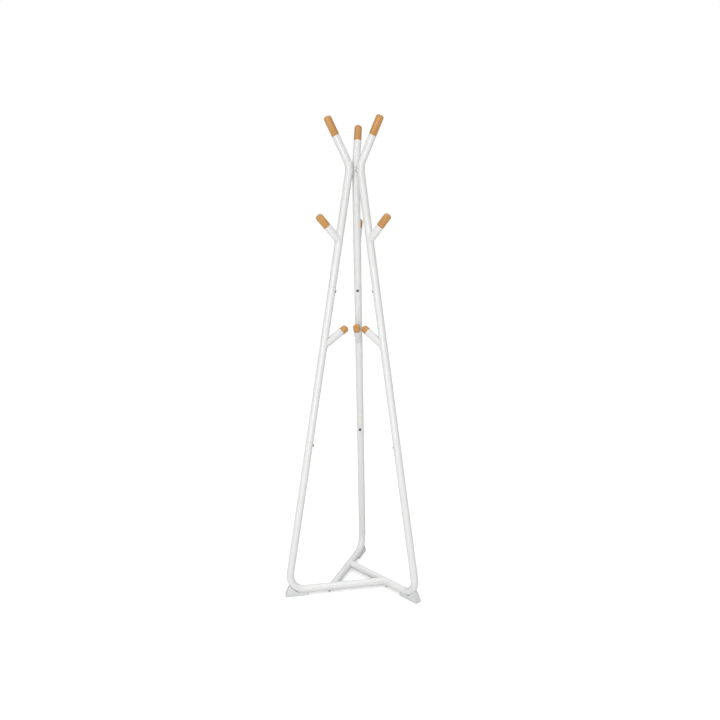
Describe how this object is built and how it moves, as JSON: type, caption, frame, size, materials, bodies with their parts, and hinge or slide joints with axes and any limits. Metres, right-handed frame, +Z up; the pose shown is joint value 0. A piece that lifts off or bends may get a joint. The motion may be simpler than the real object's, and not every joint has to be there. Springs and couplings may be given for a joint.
{
  "type": "coat rack",
  "caption": "Free-standing coat rack of bent white steel tube: leaning legs tied at the waist flare into arms, with wood-tipped pegs at lower levels and a pinwheel base on wedge feet.",
  "frame": {"origin": "on the floor, under the middle of the rack's bounding box; the three legs' common centre line stands at x -0.0012, y -0.0679 m", "axes": "+Z up the rack; +Y towards the back leg, which stands straight behind the centre line; -Y towards the front, between the left and right legs"},
  "size_m": [0.5103, 0.4451, 1.7532],
  "materials": {
    "white_steel": "smooth white powder coat, semi-gloss",
    "beech": "turned light beech, clear satin lacquer",
    "foot_plastic": "moulded light grey-white plastic",
    "bolt_steel": "dark nickel-plated socket button-head bolts",
    "plain_steel": "bare zinc-plated steel, hidden in use"
  },
  "bodies": {
    "root": {"upper_tube_left": "white_steel", "upper_tube_right": "white_steel", "upper_tube_back": "white_steel", "middle_tube_left": "white_steel", "middle_tube_right": "white_steel", "middle_tube_back": "white_steel", "lower_tube_left": "white_steel", "lower_tube_right": "white_steel", "lower_tube_back": "white_steel", "mid_peg_tube_left": "white_steel", "mid_peg_tube_right": "white_steel", "mid_peg_tube_back": "white_steel", "low_peg_tube_left": "white_steel", "low_peg_tube_right": "white_steel", "low_peg_tube_back": "white_steel", "top_tip_left": "beech", "top_tip_right": "beech", "top_tip_back": "beech", "mid_tip_left": "beech", "mid_tip_right": "beech", "mid_tip_back": "beech", "low_tip_left": "beech", "low_tip_right": "beech", "low_tip_back": "beech", "upper_sleeve_left": "plain_steel", "upper_sleeve_right": "plain_steel", "upper_sleeve_back": "plain_steel", "lower_sleeve_left": "plain_steel", "lower_sleeve_right": "plain_steel", "lower_sleeve_back": "plain_steel", "upper_leg_bolt_left": "bolt_steel", "upper_leg_bolt_right": "bolt_steel", "upper_leg_bolt_back": "bolt_steel", "lower_leg_bolt_left": "bolt_steel", "lower_leg_bolt_right": "bolt_steel", "lower_leg_bolt_back": "bolt_steel", "foot_left": "foot_plastic", "foot_right": "foot_plastic", "foot_back": "foot_plastic", "foot_screw_left": "plain_steel", "foot_screw_right": "plain_steel", "foot_screw_back": "plain_steel", "base_bracket_left": "white_steel", "base_bracket_right": "white_steel", "base_bracket_back": "white_steel", "base_bolt_left": "bolt_steel", "base_bolt_right": "bolt_steel", "base_bolt_back": "bolt_steel", "base_rivet_nut_left": "plain_steel", "base_rivet_nut_right": "plain_steel", "base_rivet_nut_back": "plain_steel", "waist_lug_left": "white_steel", "waist_lug_right": "white_steel", "waist_lug_back": "white_steel", "waist_bolt": "bolt_steel", "waist_weld_nut": "white_steel"}
  },
  "joints": []
}
